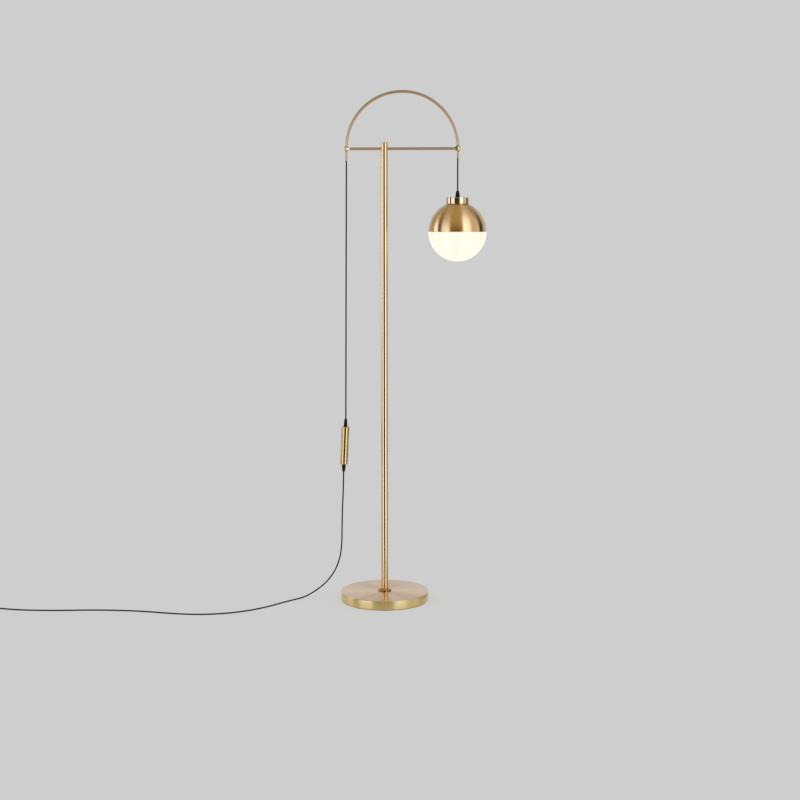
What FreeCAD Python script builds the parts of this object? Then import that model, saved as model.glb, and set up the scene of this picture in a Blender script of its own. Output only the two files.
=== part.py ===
import FreeCAD, Part
import math
import os

os.makedirs("parts", exist_ok=True)
V = FreeCAD.Vector
Z = V(0, 0, 1)

# Globe floor lamp. Millimetres, +Z up, origin at the centre of the base's underside.
# +X points from the pole towards the hanging globe; the lamp is seen from -Y.

# ---- base
BASE_R = 140.25          # outside radius of the base cover
BASE_TOP = 29.0          # height of the base's top face
COVER_SIDE = 1.5         # wall of the base cover
COVER_TOP = 2.0
PAD_R, PAD_T = 138.5, 2.0
COVER_BOTTOM = 1.8       # shadow gap under the cover
WEIGHT_R = 138.5
STUD_R = 5.0             # M10 stud, thread drawn plain
FLANGE_R, FLANGE_T = 21.0, 4.0

# ---- pole and crossbar
POLE_R, POLE_WALL = 11.0, 1.0
POLE_TOP = 1446.0
CAP_T = 2.7
BAR_Z = 1429.0
BAR_R = 4.5

# ---- arch
ARCH_LEFT_X, ARCH_RIGHT_X = -117.8, 228.0
ARCH_Z = 1430.2          # height of the arch's centre
ARCH_TUBE_R, ARCH_WALL = 4.5, 1.0
ARCH_LEG_END = 1418.5
KNOB_R = 10.7            # right knob
KNOB_LEFT_R = 8.6
NECK_PIN_R = 3.5         # the knobs' spigots fit the bar's bore
BAR_END = 15.2           # from a leg's axis to the bar's end
OUTLET_R, OUTLET_BORE = 3.5, 3.1
OUTLET_TOP = 1432.0
OUTLET_LEFT_END, OUTLET_RIGHT_END = 1392.0, 1400.0
BUSH_LIP = 1.5

# ---- cord
CORD_R = 2.2             # 4.4 mm round cord
LEFT_CORD_END = V(-123.25, 0, 584.2)

# ---- brass counterweight on the cord
WEIGHT_TOP = V(-124.4, 0, 559.5)
WEIGHT_BOTTOM = V(-130.0, 0, 439.2)
WEIGHT_TUBE_R, WEIGHT_TUBE_BORE = 12.4, 10.9
WEIGHT_CAP_T = 4.0
GLAND_LONG = 24.7
# bullet-shaped glands: (radius, distance from the metal)
TOP_GLAND = [(5.8, 0), (5.8, 1.5), (5.65, 6), (5.3, 12), (4.8, 17.5), (4.35, 21.0), (3.8, 23.4), (3.0, GLAND_LONG)]
BOTTOM_GLAND = [(6.4, 0), (6.4, 1.5), (6.2, 6), (5.9, 11), (5.5, 15.5), (4.9, 19.5), (4.2, 22.6), (3.3, GLAND_LONG)]
PENDANT_GLAND = [(7.2, 0), (7.2, 1.4), (6.95, 5), (6.3, 10), (5.5, 14.2), (4.6, 17.4), (3.8, 19.3), (3.0, 20.3)]

# ---- pendant
PX = ARCH_RIGHT_X
COLLAR_R, COLLAR_TOP, COLLAR_BOTTOM = 35.15, 1279.2, 1259.2
GLAND_TOP = 1299.5
DOME_R, DOME_Z, DOME_T = 89.7, 1176.0, 1.0
SEAM_Z = 1173.3
BOWL_R, BOWL_Z, BOWL_T = 90.2, 1172.3, 3.0
NECK_R, NECK_BORE, NECK_TOP = 85.6, 82.6, 1186.0
NIPPLE_R, NIPPLE_BORE = 5.0, 3.5

# ---- supply cord: route points from the counterweight's lower gland to the plug
HANG_ROUTE = [
    (-130.1, 0.0, 414.0), (-132.0, -0.6, 356.1), (-135.1, -1.3, 300.2), (-136.7, -0.6, 243.2),
    (-137.6, 1.5, 188.0), (-142.0, 3.8, 142.0), (-156.4, 7.1, 99.0), (-174.8, 8.7, 68.3),
    (-199.5, 7.9, 41.2), (-229.5, 2.9, 19.6), (-257.4, -8.0, 5.4),
]
FLOOR_ROUTE = [
    (-284.5, -27.5, 2.2), (-315.4, -63.9, 2.2), (-345.8, -105.8, 2.2), (-379.5, -144.5, 2.2),
    (-418.1, -176.8, 2.2), (-461.0, -202.0, 2.2), (-507.2, -219.2, 2.2), (-556.5, -227.0, 2.2),
    (-607.2, -226.5, 2.2), (-655.0, -219.5, 2.2), (-706.0, -208.5, 2.2), (-759.0, -200.5, 2.2),
    (-814.0, -196.5, 2.2), (-868.0, -196.5, 2.2), (-922.0, -200.0, 2.2), (-975.0, -206.5, 2.2),
    (-1029.0, -211.0, 2.2), (-1082.0, -212.5, 2.2), (-1130.0, -210.5, 2.2), (-1168.0, -208.2, 3.6),
    (-1204.0, -207.2, 5.6), (-1240.0, -207.0, 6.2), (-1278.0, -206.6, 5.2), (-1302.0, -206.2, 3.4),
]
COIL_X, COIL_Y = -1322.0, -176.2
COIL_RADII = (29.8, 25.2, 20.6)
COIL_Z = (3.2, 7.8)
COIL_IN, COIL_OUT = 18.2, 32.2
COIL_LOW, COIL_TOP = 1.0, 10.2
TAIL_ROUTE = [(COIL_X - 29.8, COIL_Y + 2.0, 7.8), (COIL_X - 29.7, COIL_Y + 21.0, 7.6), (COIL_X - 29.3, COIL_Y + 40.0, 6.9)]

# ---- foot switch and plug
SW_X, SW_Y = -1240.0, -207.0
SW_L, SW_W, SW_SPLIT, SW_H = 72.0, 42.0, 9.0, 20.0
PLUG_W, PLUG_L, PLUG_H = 35.0, 36.0, 13.8
PIN_R, PIN_L, PIN_GAP = 2.0, 19.0, 19.0


# ------------------------------------------------------------------ helpers
def cyl(r, z0, z1, x=0.0, y=0.0):
    return Part.makeCylinder(r, z1 - z0, V(x, y, z0), Z)


def tube(ro, ri, z0, z1, x=0.0, y=0.0):
    return cyl(ro, z0, z1, x, y).cut(cyl(ri, z0 - 1, z1 + 1, x, y))


def turned(profile, x=0.0, y=0.0):
    """Solid of revolution about the vertical at x, y from (radius, height) corners."""
    pts = [V(x + r, y, z) for r, z in profile]
    wire = Part.makePolygon(pts + [pts[0]])
    return Part.Face(wire).revolve(V(x, y, 0), Z, 360)


def solid_of(shape):
    s = shape.removeSplitter()
    return s.Solids[0] if len(s.Solids) == 1 else s


def route_wire(points, report=None):
    """Straight runs joined by tangent arcs, each as large as its two runs allow."""
    P = [V(*p) if not isinstance(p, V) else p for p in points]
    edges, at, radii = [], P[0], []
    for i in range(1, len(P) - 1):
        a, b, c = P[i - 1], P[i], P[i + 1]
        u, w = (b - a), (c - b)
        lu, lw = u.Length, w.Length
        u.normalize()
        w.normalize()
        turn = math.acos(max(-1.0, min(1.0, u.dot(w))))
        if turn < 1e-4:
            raise ValueError("three points in line at %s" % b)
        back = 0.45 * min(lu, lw)
        radius = back / math.tan(turn / 2)
        radii.append(radius)
        s, e = b - u * back, b + w * back
        bis = w - u
        bis.normalize()
        centre = b + bis * (radius / math.cos(turn / 2))
        mid = centre + (b - centre).normalize() * radius
        if (s - at).Length > 1e-6:
            edges.append(Part.LineSegment(at, s).toShape())
        edges.append(Part.Arc(s, mid, e).toShape())
        at = e
    edges.append(Part.LineSegment(at, P[-1]).toShape())
    if report:
        print(report, "arc radii", [round(r, 1) for r in radii], "smallest %.1f" % min(radii))
    return Part.Wire(edges)


def route_tube(points, radius, name):
    wire = route_wire(points, name)
    first = wire.Edges[0]
    start = first.valueAt(first.FirstParameter)
    way = first.tangentAt(first.FirstParameter)
    ring = Part.Wire([Part.makeCircle(radius, start, way)])
    shell = wire.makePipeShell([ring], True, True)
    solid = shell if shell.ShapeType == "Solid" else Part.Solid(shell.Shells[0])
    if solid.Volume < 0:
        solid.reverse()
    want = math.pi * radius * radius * wire.Length
    print("%s: length %.1f, volume %.1f of %.1f (%.4f), valid %s" % (
        name, wire.Length, solid.Volume, want, solid.Volume / want, solid.isValid()))
    return solid, wire.Length


parts = {}

# ------------------------------------------------------------------ base
parts["base_pad"] = cyl(PAD_R, 0, PAD_T)
weight = cyl(WEIGHT_R, PAD_T, BASE_TOP - COVER_TOP)
weight = weight.cut(cyl(21.0, PAD_T - 1, 15.0)).cut(cyl(STUD_R + 0.25, 0, BASE_TOP + 1))
weight = weight.cut(tube(124.0, 44.0, PAD_T - 1, 17.0))      # cored underneath between rim and hub
parts["base_weight"] = weight
cover = cyl(BASE_R, COVER_BOTTOM, BASE_TOP)
rim = [e for e in cover.Edges if abs(e.BoundBox.ZMin - BASE_TOP) < 1e-6 and abs(e.BoundBox.ZMax - BASE_TOP) < 1e-6]
cover = cover.makeFillet(1.0, rim)
cover = cover.cut(cyl(BASE_R - COVER_SIDE, 0, BASE_TOP - COVER_TOP)).cut(cyl(STUD_R + 0.25, 0, BASE_TOP + 1))
parts["base_cover"] = cover
parts["base_washer"] = tube(15.0, STUD_R + 0.25, 13.0, 15.0)
hexa = Part.Face(Part.makePolygon([V(9.815 * math.cos(math.radians(60 * i)), 9.815 * math.sin(math.radians(60 * i)), 5.0) for i in range(7)])).extrude(V(0, 0, 8.0))
parts["base_nut"] = hexa.cut(cyl(STUD_R, 4, 14))
parts["pole_stud"] = cyl(STUD_R, 4.0, 60.0)
f0, f1 = BASE_TOP, BASE_TOP + FLANGE_T
# a rounded edge, then a hollow cone that rises round the pole
parts["pole_flange"] = turned([
    (STUD_R + 0.25, f0), (FLANGE_R - 1.4, f0), (FLANGE_R - 0.4, f0 + 0.6), (FLANGE_R, f0 + 1.8), (FLANGE_R, f0 + 3.2), (FLANGE_R - 0.8, f0 + 4.4),
    (17.9, f0 + 5.7), (15.0, f0 + 7.2), (13.0, f0 + 8.9), (12.1, f0 + 10.3), (11.6, f0 + 10.8), (POLE_R, f0 + 10.8), (POLE_R, f1), (STUD_R + 0.25, f1)])

# ------------------------------------------------------------------ pole
foot = FLANGE_T + BASE_TOP
pole = tube(POLE_R, POLE_R - POLE_WALL, foot, POLE_TOP)
bar_hole = Part.makeCylinder(BAR_R, 80, V(-40, 0, BAR_Z), V(1, 0, 0))
parts["pole_tube"] = pole.cut(bar_hole)
parts["pole_foot_insert"] = tube(POLE_R - POLE_WALL, STUD_R, foot, foot + 30)
top_insert = cyl(POLE_R - POLE_WALL, 1412.0, POLE_TOP - 2).cut(bar_hole).cut(cyl(3.0, BAR_Z, POLE_TOP))
parts["pole_top_insert"] = top_insert
parts["bar_grub_screw"] = cyl(3.0, BAR_Z + BAR_R, BAR_Z + BAR_R + 9.0).cut(cyl(1.5, BAR_Z + BAR_R + 5.0, BAR_Z + 20))
parts["pole_cap"] = turned([
    (0, POLE_TOP - 2), (POLE_R - POLE_WALL, POLE_TOP - 2), (POLE_R - POLE_WALL, POLE_TOP), (POLE_R, POLE_TOP),
    (POLE_R, POLE_TOP + CAP_T - 0.8), (POLE_R - 0.8, POLE_TOP + CAP_T), (0, POLE_TOP + CAP_T)])

# ------------------------------------------------------------------ crossbar, arch, knobs
bar_a, bar_b = ARCH_LEFT_X + BAR_END, ARCH_RIGHT_X - BAR_END
bar = Part.makeCylinder(BAR_R, bar_b - bar_a, V(bar_a, 0, BAR_Z), V(1, 0, 0))
parts["crossbar"] = bar.cut(Part.makeCylinder(BAR_R - 1, bar_b - bar_a + 2, V(bar_a - 1, 0, BAR_Z), V(1, 0, 0)))

arch_x = (ARCH_LEFT_X + ARCH_RIGHT_X) / 2
arch_r = (ARCH_RIGHT_X - ARCH_LEFT_X) / 2


def arch_wire(left_end, right_end):
    return Part.Wire([
        Part.LineSegment(V(ARCH_LEFT_X, 0, left_end), V(ARCH_LEFT_X, 0, ARCH_Z)).toShape(),
        Part.Arc(V(ARCH_LEFT_X, 0, ARCH_Z), V(arch_x, 0, ARCH_Z + arch_r), V(ARCH_RIGHT_X, 0, ARCH_Z)).toShape(),
        Part.LineSegment(V(ARCH_RIGHT_X, 0, ARCH_Z), V(ARCH_RIGHT_X, 0, right_end)).toShape()])


def arch_rod(r, left_end, right_end):
    wire = arch_wire(left_end, right_end)
    rod = wire.makePipeShell([Part.Wire([Part.makeCircle(r, V(ARCH_LEFT_X, 0, left_end), Z)])], True, True)
    return rod if rod.ShapeType == "Solid" else Part.Solid(rod.Shells[0])


arch_out = arch_rod(ARCH_TUBE_R, ARCH_LEG_END, ARCH_LEG_END)
arch_in = arch_rod(ARCH_TUBE_R - ARCH_WALL, ARCH_LEG_END, ARCH_LEG_END)
parts["arch_tube"] = arch_out.cut(arch_in)

# turned about the bar's line: (radius, distance outwards from the leg's axis), a rounded disc, a cone and a spigot for the bar
KNOB_OUTLINE = {
    "left": [(0, 5.2), (6.4, 5.2), (7.7, 4.4), (8.4, 2.9), (KNOB_LEFT_R, 0.8), (8.3, -1.2), (7.2, -4.2), (5.6, -7.4), (4.1, -10.2),
             (NECK_PIN_R, -11.6), (NECK_PIN_R, -30.0), (0, -30.0)],
    "right": [(0, 7.0), (6.9, 7.0), (8.4, 6.2), (9.8, 4.2), (10.5, 1.9), (KNOB_R, 0.3), (10.4, -1.2), (8.4, -4.0), (5.6, -8.2), (4.2, -10.6),
              (NECK_PIN_R, -11.9), (NECK_PIN_R, -30.0), (0, -30.0)]}
for side, x, way in (("left", ARCH_LEFT_X, -1.0), ("right", ARCH_RIGHT_X, 1.0)):
    pts = [V(x + way * a, 0, BAR_Z + r) for r, a in KNOB_OUTLINE[side]]
    knob = Part.Face(Part.makePolygon(pts + [pts[0]])).revolve(V(x, 0, BAR_Z), V(1, 0, 0), 360)
    knob = knob.cut(arch_rod(ARCH_TUBE_R + 0.05, BAR_Z - 20, BAR_Z - 20))
    knob = knob.cut(Part.makeCylinder(2.0, 12, V(x, ARCH_TUBE_R - 0.5, BAR_Z), V(0, 1, 0)))
    parts["knob_" + side] = solid_of(knob)
    parts["outlet_tube_" + side] = tube(OUTLET_R, OUTLET_BORE, (OUTLET_LEFT_END + BUSH_LIP) if side == "left" else (OUTLET_RIGHT_END + BUSH_LIP + 0.3), OUTLET_TOP, x)

screws = []
for x, long in ((ARCH_LEFT_X, 3.4), (ARCH_RIGHT_X, 4.6)):
    s = Part.makeCylinder(2.0, long, V(x, ARCH_TUBE_R + 0.05, BAR_Z), V(0, 1, 0))
    screws.append(s.cut(Part.makeCylinder(1.0, 4, V(x, ARCH_TUBE_R + long - 2.0, BAR_Z), V(0, 1, 0))))
parts["knob_grub_screws"] = Part.makeCompound(screws)

z = OUTLET_LEFT_END
parts["outlet_bush_left"] = turned([(CORD_R, z), (OUTLET_R - 0.4, z), (OUTLET_R, z + 0.4), (OUTLET_R, z + BUSH_LIP), (OUTLET_BORE, z + BUSH_LIP), (OUTLET_BORE, z + 10), (CORD_R, z + 10)], ARCH_LEFT_X)
z = OUTLET_RIGHT_END
parts["outlet_bush_right"] = turned([(CORD_R + 0.35, z), (OUTLET_R - 0.4, z), (OUTLET_R, z + 0.4), (OUTLET_R, z + BUSH_LIP), (OUTLET_BORE - 0.3, z + BUSH_LIP), (OUTLET_BORE - 0.3, z + 10), (CORD_R + 0.35, z + 10)], ARCH_RIGHT_X)

# ------------------------------------------------------------------ cord in the arch and on its left side
parts["arch_cord"] = arch_rod(CORD_R, OUTLET_LEFT_END, OUTLET_RIGHT_END + 2.7)
print("arch_cord length %.1f" % arch_wire(OUTLET_LEFT_END, OUTLET_RIGHT_END + 2.7).Length)
top = V(ARCH_LEFT_X, 0, OUTLET_LEFT_END)
down = LEFT_CORD_END - top
parts["left_cord"] = Part.makeCylinder(CORD_R, down.Length, top, down)
print("left_cord length %.1f" % down.Length)

# ------------------------------------------------------------------ counterweight, built upright and then leaned
lean = WEIGHT_TOP - WEIGHT_BOTTOM
L = lean.Length
angle = math.degrees(math.atan2(lean.x, lean.z))


def leaned(shape):
    s = shape.copy()
    s.rotate(V(0, 0, 0), V(0, 1, 0), angle)
    s.translate(WEIGHT_BOTTOM)
    return s


parts["weight_tube"] = leaned(tube(WEIGHT_TUBE_R, WEIGHT_TUBE_BORE, 0, L))
cap = tube(WEIGHT_TUBE_BORE, CORD_R, 0, WEIGHT_CAP_T)
parts["weight_cap_bottom"] = leaned(cap)
cap2 = tube(WEIGHT_TUBE_BORE, CORD_R, L - WEIGHT_CAP_T, L)
parts["weight_cap_top"] = leaned(cap2)
core = tube(WEIGHT_TUBE_BORE - 0.1, 3.0, WEIGHT_CAP_T, L - WEIGHT_CAP_T)
clamp_hole = Part.makeCylinder(2.0, 20, V(0, 2.1, L / 2), V(0, 1, 0))
parts["weight_core"] = leaned(core.cut(clamp_hole))
parts["weight_clamp_screw"] = leaned(Part.makeCylinder(2.0, 7.9, V(0, CORD_R + 0.15, L / 2), V(0, 1, 0)))
parts["weight_gland_top"] = leaned(turned([(CORD_R, L)] + [(r, L + z) for r, z in TOP_GLAND] + [(CORD_R, L + GLAND_LONG)]))
parts["weight_gland_bottom"] = leaned(turned([(CORD_R, 0)] + [(r, -z) for r, z in BOTTOM_GLAND] + [(CORD_R, -GLAND_LONG)]))
parts["weight_cord"] = leaned(cyl(CORD_R, 0.3 - GLAND_LONG, L + GLAND_LONG - 0.3))
for z in (-GLAND_LONG, L + GLAND_LONG):
    p = Part.Vertex(V(0, 0, z))
    p.rotate(V(0, 0, 0), V(0, 1, 0), angle)
    p.translate(WEIGHT_BOTTOM)
    print("counterweight gland end at", [round(c, 2) for c in p.Point])

# ------------------------------------------------------------------ supply cord
a, b = V(*HANG_ROUTE[-1]), V(*FLOOR_ROUTE[0])
joint = (a + b) * 0.5
low = Part.Vertex(V(0, 0, -GLAND_LONG))
low.rotate(V(0, 0, 0), V(0, 1, 0), angle)
low.translate(WEIGHT_BOTTOM)
hang = [low.Point] + [V(*p) for p in HANG_ROUTE[1:]] + [joint]
parts["supply_cord_hanging"], l1 = route_tube(hang, CORD_R, "supply_cord_hanging")

coil = turned([(COIL_IN, COIL_LOW), (COIL_OUT, COIL_LOW), (COIL_OUT, COIL_TOP), (COIL_IN, COIL_TOP)], COIL_X, COIL_Y)
coil = coil.makeFillet(2.0, [e for e in coil.Edges if e.Curve.TypeId == "Part::GeomCircle"])
parts["cord_coil"] = coil
floor_pts = [joint] + [V(*p) for p in FLOOR_ROUTE] + [V(COIL_X, COIL_Y - 29.8, COIL_Z[0])]
floor_tube, l2 = route_tube(floor_pts, CORD_R, "supply_cord_floor")
parts["supply_cord_floor"] = solid_of(floor_tube.cut(coil))
tail, l3 = route_tube(TAIL_ROUTE, CORD_R, "supply_cord_tail")
parts["supply_cord_tail"] = solid_of(tail.cut(coil))
coil_len = 2 * math.pi * 25.2 * 5.25          # five and a quarter turns
print("supply cord from the counterweight to the plug: %.0f + %.0f + %.0f + %.0f = %.0f mm" % (l1, l2, coil_len, l3, l1 + l2 + coil_len + l3))

tie = Part.makeBox(COIL_OUT - COIL_IN + 2.4, 8, COIL_TOP + 1.0, V(COIL_X + COIL_IN - 1.2, COIL_Y - 4, 0))
tie = tie.cut(Part.makeBox(COIL_OUT - COIL_IN + 0.9, 12, COIL_TOP - COIL_LOW, V(COIL_X + COIL_IN - 0.45, COIL_Y - 6, COIL_LOW)))
parts["coil_tie"] = tie

# foot switch
base = Part.makeBox(SW_L, SW_W, SW_SPLIT, V(SW_X - SW_L / 2, SW_Y - SW_W / 2, 0))
base = base.makeFillet(9.0, [e for e in base.Edges if abs(e.BoundBox.ZLength - SW_SPLIT) < 1e-6])
base = base.cut(Part.makeBox(SW_L - 6, SW_W - 6, SW_SPLIT, V(SW_X - SW_L / 2 + 3, SW_Y - SW_W / 2 + 3, 2.0)))
sw_full, _ = route_tube([V(*p) for p in FLOOR_ROUTE[18:24]], CORD_R, "switch bore")
parts["switch_base"] = solid_of(base.cut(sw_full))
top_shell = Part.makeBox(SW_L, SW_W, SW_H - SW_SPLIT, V(SW_X - SW_L / 2, SW_Y - SW_W / 2, SW_SPLIT))
top_shell = top_shell.makeFillet(9.0, [e for e in top_shell.Edges if abs(e.BoundBox.ZLength - (SW_H - SW_SPLIT)) < 1e-6])
top_shell = top_shell.makeFillet(3.0, [e for e in top_shell.Edges if abs(e.BoundBox.ZMin - SW_H) < 1e-6])
top_shell = top_shell.cut(Part.makeBox(SW_L - 6, SW_W - 6, SW_H - SW_SPLIT - 2.5, V(SW_X - SW_L / 2 + 3, SW_Y - SW_W / 2 + 3, SW_SPLIT)))
parts["switch_cover"] = top_shell.cut(cyl(11.6, SW_SPLIT, SW_H + 2, SW_X, SW_Y))
parts["switch_button"] = turned([(0, 15.6), (13.4, 15.6), (13.4, 17.1), (11.2, 17.1), (11.2, 22.2), (10.0, 23.4), (0, 23.9)], SW_X, SW_Y)

# plug lying on the floor behind the coil
px, py = COIL_X - 29.3, COIL_Y + 40.0
parts["plug_relief"] = Part.makeCone(3.1, 4.6, 15.0, V(px, py, 6.9), V(0, 1, 0))
body = Part.makeBox(PLUG_W, PLUG_L, PLUG_H, V(px - PLUG_W / 2, py + 15.0, 0))
body = body.makeFillet(5.0, [e for e in body.Edges if abs(e.BoundBox.YLength - PLUG_L) < 1e-6])
parts["plug_body"] = body
parts["plug_pins"] = Part.makeCompound([
    Part.makeCylinder(PIN_R, PIN_L, V(px + k * PIN_GAP / 2, py + 15.0 + PLUG_L, PLUG_H / 2), V(0, 1, 0)) for k in (-1, 1)])

# ------------------------------------------------------------------ pendant
cord = cyl(CORD_R, GLAND_TOP, OUTLET_RIGHT_END, PX)
ball = Part.makeSphere(CORD_R, V(PX, 0, OUTLET_RIGHT_END))
parts["pendant_cord"] = solid_of(cord.fuse(ball))
parts["pendant_gland"] = turned([(CORD_R, COLLAR_TOP)] + [(r, COLLAR_TOP + z) for r, z in PENDANT_GLAND] + [(CORD_R, GLAND_TOP)], PX)
t = 2.0
parts["shade_collar"] = turned([
    (NIPPLE_R, COLLAR_TOP), (COLLAR_R - 0.6, COLLAR_TOP), (COLLAR_R, COLLAR_TOP - 0.6), (COLLAR_R, COLLAR_BOTTOM),
    (COLLAR_R - 1.5, COLLAR_BOTTOM), (COLLAR_R - 1.5, COLLAR_TOP - t), (NIPPLE_R, COLLAR_TOP - t)], PX)
parts["shade_nipple"] = tube(NIPPLE_R, NIPPLE_BORE, 1246.1, COLLAR_TOP, PX)
parts["shade_spacer"] = tube(7.0, NIPPLE_R, DOME_Z + DOME_R, COLLAR_TOP - t, PX)
dome = Part.makeSphere(DOME_R, V(PX, 0, DOME_Z)).cut(Part.makeSphere(DOME_R - DOME_T, V(PX, 0, DOME_Z)))
dome = dome.cut(Part.makeBox(300, 300, 200, V(PX - 150, -150, SEAM_Z - 200))).cut(cyl(NIPPLE_R + 0.1, DOME_Z, DOME_Z + 120, PX))
parts["shade_dome"] = solid_of(dome)
nut = Part.Face(Part.makePolygon([V(PX + 13.0 * math.cos(math.radians(60 * i)), 13.0 * math.sin(math.radians(60 * i)), 1258.7) for i in range(7)])).extrude(V(0, 0, 4.9))
parts["shade_nut"] = nut.cut(cyl(NIPPLE_R, 1250, 1270, PX))
bowl = Part.makeSphere(BOWL_R, V(PX, 0, BOWL_Z)).cut(Part.makeSphere(BOWL_R - BOWL_T, V(PX, 0, BOWL_Z)))
bowl = bowl.cut(Part.makeBox(300, 300, 200, V(PX - 150, -150, SEAM_Z)))
shoulder = tube(math.sqrt(BOWL_R ** 2 - (SEAM_Z - BOWL_Z) ** 2) - 0.6, NECK_BORE, SEAM_Z - 4.0, SEAM_Z, PX)
neck = tube(NECK_R, NECK_BORE, SEAM_Z - 2.0, NECK_TOP, PX)
parts["glass_bowl"] = solid_of(bowl.fuse(shoulder).fuse(neck))
parts["bowl_ring"] = tube(88.25, NECK_R, SEAM_Z + 0.6, 1184.0, PX)
parts["lampholder_cap"] = turned([(NIPPLE_R, 1256.0), (14.0, 1256.0), (20.0, 1250.0), (20.0, 1236.0), (18.0, 1236.0), (18.0, 1249.0), (13.0, 1253.0), (NIPPLE_R, 1253.0)], PX)
parts["lampholder_body"] = turned([(2.4, 1246.0), (17.9, 1246.0), (17.9, 1204.0), (13.6, 1204.0), (13.6, 1240.2), (2.4, 1240.2)], PX)
parts["bulb_cap"] = turned([(0, 1240.0), (4.5, 1240.0), (6.0, 1238.0), (13.2, 1235.0), (13.2, 1212.0), (12.65, 1212.0), (12.65, 1234.4), (0, 1237.0)], PX)
outer = Part.makeSphere(30.0, V(PX, 0, 1172.0)).fuse(Part.makeCone(26.4, 12.6, 17.8, V(PX, 0, 1185.4), Z)).fuse(cyl(12.6, 1203.0, 1226.0, PX))
inner = Part.makeSphere(29.0, V(PX, 0, 1172.0)).fuse(Part.makeCone(25.4, 11.6, 17.8, V(PX, 0, 1185.4), Z)).fuse(cyl(11.6, 1203.0, 1228.0, PX))
parts["bulb_envelope"] = solid_of(outer.cut(inner))
parts["pendant_inner_cord"] = cyl(CORD_R, 1246.2, GLAND_TOP, PX)

# ------------------------------------------------------------------ write
for name in sorted(parts):
    s = parts[name]
    ok = s.isValid() and s.Volume > 0
    print("%-22s vol %10.1f  solids %d valid %s  z %.1f..%.1f" % (name, s.Volume, len(s.Solids), ok, s.BoundBox.ZMin, s.BoundBox.ZMax))
    s.exportStep("parts/%s.step" % name)
print(len(parts), "parts")
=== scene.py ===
import bpy
import bmesh
import math
import numpy as np
from mathutils import Matrix, Vector


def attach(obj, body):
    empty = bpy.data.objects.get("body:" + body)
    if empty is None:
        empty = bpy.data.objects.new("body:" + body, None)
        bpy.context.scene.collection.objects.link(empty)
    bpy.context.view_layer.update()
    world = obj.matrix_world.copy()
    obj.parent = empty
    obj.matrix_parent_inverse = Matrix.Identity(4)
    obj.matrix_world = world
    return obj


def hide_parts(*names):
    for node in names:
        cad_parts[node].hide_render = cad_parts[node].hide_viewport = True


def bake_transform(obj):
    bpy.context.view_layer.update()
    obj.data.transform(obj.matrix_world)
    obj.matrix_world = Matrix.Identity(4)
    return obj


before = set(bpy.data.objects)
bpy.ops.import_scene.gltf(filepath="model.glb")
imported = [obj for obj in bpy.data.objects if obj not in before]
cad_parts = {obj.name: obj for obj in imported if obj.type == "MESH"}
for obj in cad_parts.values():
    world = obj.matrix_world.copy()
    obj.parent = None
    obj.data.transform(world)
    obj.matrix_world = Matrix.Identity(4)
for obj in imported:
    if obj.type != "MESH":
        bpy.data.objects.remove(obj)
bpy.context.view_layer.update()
scene = bpy.context.scene
MM = 0.001

# ------------------------------------------------------------------ camera
cam_data = bpy.data.cameras.new("camera")
cam_data.sensor_fit = "HORIZONTAL"
cam_data.sensor_width = 36.0
cam_data.lens = 63.405
cam_data.clip_start, cam_data.clip_end = 0.05, 500.0
cam = bpy.data.objects.new("camera", cam_data)
cam.location = (0.33452, -4.41361, 1.173)
cam.rotation_euler = (math.radians(83.20), 0.0, math.radians(3.7))
scene.collection.objects.link(cam)
scene.camera = cam


# ------------------------------------------------------------------ mesh helpers
def put(name, verts, faces, turn=None, sharp=35.0, body=None):
    """A mesh object. turn holds, per vertex, the direction round the piece's axis and the distance along its outline."""
    me = bpy.data.meshes.new(name)
    me.from_pydata([tuple(v) for v in verts], [], faces)
    if turn is not None:
        at = me.attributes.new("turn", "FLOAT_VECTOR", "POINT")
        at.data.foreach_set("vector", np.asarray(turn, np.float32).ravel())
    bm = bmesh.new()
    bm.from_mesh(me)
    bmesh.ops.recalc_face_normals(bm, faces=bm.faces)
    bm.to_mesh(me)
    bm.free()
    me.polygons.foreach_set("use_smooth", [True] * len(me.polygons))
    me.set_sharp_from_angle(angle=math.radians(sharp))
    ob = bpy.data.objects.new(name, me)
    scene.collection.objects.link(ob)
    if body:
        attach(ob, body)
    return ob


def rounded(points, loop, steps=5):
    """Outline corners (r, z) or (r, z, fillet radius), in millimetres, with the fillets drawn in."""
    out, n = [], len(points)
    for i, p in enumerate(points):
        f = p[2] if len(p) > 2 else 0.0
        if f <= 0 or (not loop and i in (0, n - 1)):
            out.append((p[0], p[1]))
            continue
        b = Vector((p[0], p[1]))
        a, c = Vector(points[i - 1][:2]), Vector(points[(i + 1) % n][:2])
        u, w = (a - b), (c - b)
        lu, lw = u.length, w.length
        u.normalize()
        w.normalize()
        turn = u.angle(w)
        back = min(f / math.tan(turn / 2), 0.49 * lu, 0.49 * lw)
        r = back * math.tan(turn / 2)
        centre = b + (u + w).normalized() * (r / math.sin(turn / 2))
        s, e = b + u * back - centre, b + w * back - centre
        span = s.angle_signed(e)
        for k in range(steps + 1):
            d = Matrix.Rotation(-span * k / steps, 2) @ s
            out.append((centre.x + d.x, centre.y + d.y))
    return out


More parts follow.
